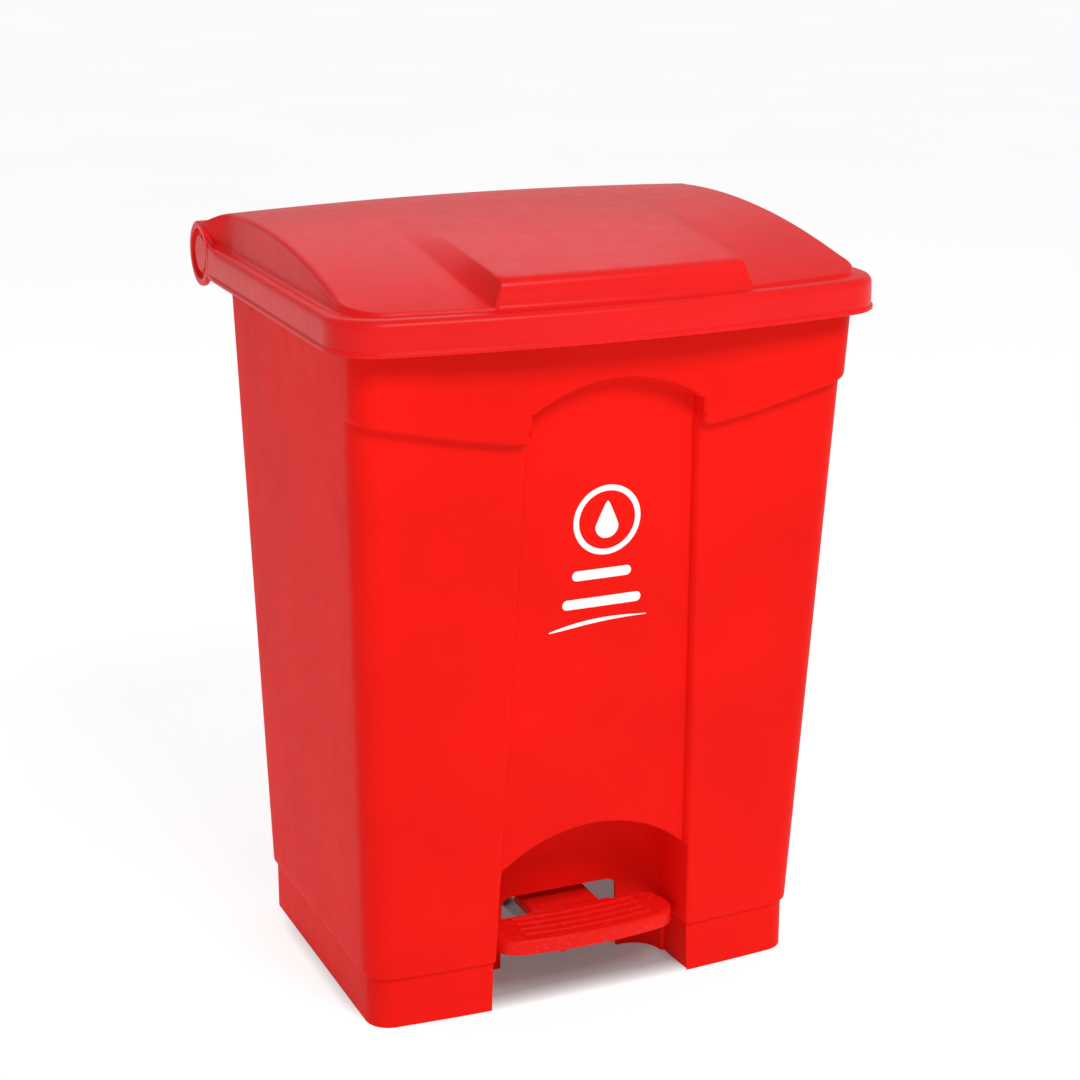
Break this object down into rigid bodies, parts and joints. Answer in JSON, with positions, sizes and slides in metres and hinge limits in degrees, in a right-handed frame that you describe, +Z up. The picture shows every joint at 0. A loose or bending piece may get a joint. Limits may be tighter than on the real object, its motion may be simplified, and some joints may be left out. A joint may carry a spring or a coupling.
{
  "type": "pedal waste bin",
  "caption": "Free-standing moulded plastic pedal bin for laboratory waste: the foot pedal lifts a domed lid through a lever and push rods.",
  "frame": {"origin": "centre of the footprint on the floor", "axes": "+X to the right seen from the front, -Y towards the user, +Z up"},
  "size_m": [0.4836, 0.4327, 0.6731],
  "materials": {
    "moulded_red": "injection-moulded polypropylene, bright red, fine satin grain",
    "lid_red": "injection-moulded polypropylene, bright red, smooth satin",
    "pedal_red": "injection-moulded polypropylene, bright red, lightly scuffed",
    "zinc_steel": "bright zinc-plated mild steel",
    "spring_steel": "phosphated spring steel",
    "black_nylon": "black moulded nylon"
  },
  "bodies": {
    "bin": {"body_shell": "moulded_red", "hinge_bracket_left": "moulded_red", "hinge_bracket_right": "moulded_red", "hinge_rod": "zinc_steel", "hinge_screws": "zinc_steel", "rod_guide_upper_left": "black_nylon", "rod_guide_upper_right": "black_nylon", "rod_guide_lower_left": "black_nylon", "rod_guide_lower_right": "black_nylon", "guide_screws": "zinc_steel", "pivot_bracket_left": "black_nylon", "pivot_bracket_right": "black_nylon", "pivot_screws": "zinc_steel", "pivot_axle": "zinc_steel", "axle_clips": "spring_steel"},
    "lid": {"lid_shell": "lid_red", "hinge_cap_left": "lid_red", "hinge_cap_right": "lid_red", "lid_crank_left": "zinc_steel", "lid_crank_right": "zinc_steel", "crank_screws": "zinc_steel"},
    "pedal": {"pedal_tread": "pedal_red", "lever_bar_left": "zinc_steel", "lever_bar_right": "zinc_steel", "pivot_tube": "zinc_steel", "rear_crossbar": "zinc_steel", "tread_screws": "zinc_steel", "crossbar_clips": "spring_steel"},
    "left_rod": {"lift_rod_left": "zinc_steel", "rod_clip_left": "spring_steel"},
    "right_rod": {"lift_rod_right": "zinc_steel", "rod_clip_right": "spring_steel"}
  },
  "joints": [
    {"name": "lid_hinge", "type": "hinge", "parent": "bin", "child": "lid", "pos_m": [0, 0.18735, 0.6227], "axis": [-1, 0, 0], "range_deg": [0, 75]},
    {"name": "pedal_tilt", "type": "hinge", "parent": "bin", "child": "pedal", "pos_m": [0, 0, 0.036], "axis": [1, 0, 0], "range_deg": [0, 13.45]},
    {"name": "rod_lift_left", "type": "slide", "parent": "bin", "child": "left_rod", "axis": [0, 0.02, 0.9998], "range_m": [0, 0.0357]},
    {"name": "rod_lift_right", "type": "slide", "parent": "bin", "child": "right_rod", "axis": [0, 0.02, 0.9998], "range_m": [0, 0.0357]}
  ],
  "couplings": [
    {"joint": "pedal_tilt", "follows": "lid_hinge", "ratio": 0.17909},
    {"joint": "rod_lift_left", "follows": "lid_hinge", "m_per_rad": 0.027214},
    {"joint": "rod_lift_right", "follows": "lid_hinge", "m_per_rad": 0.027214}
  ]
}
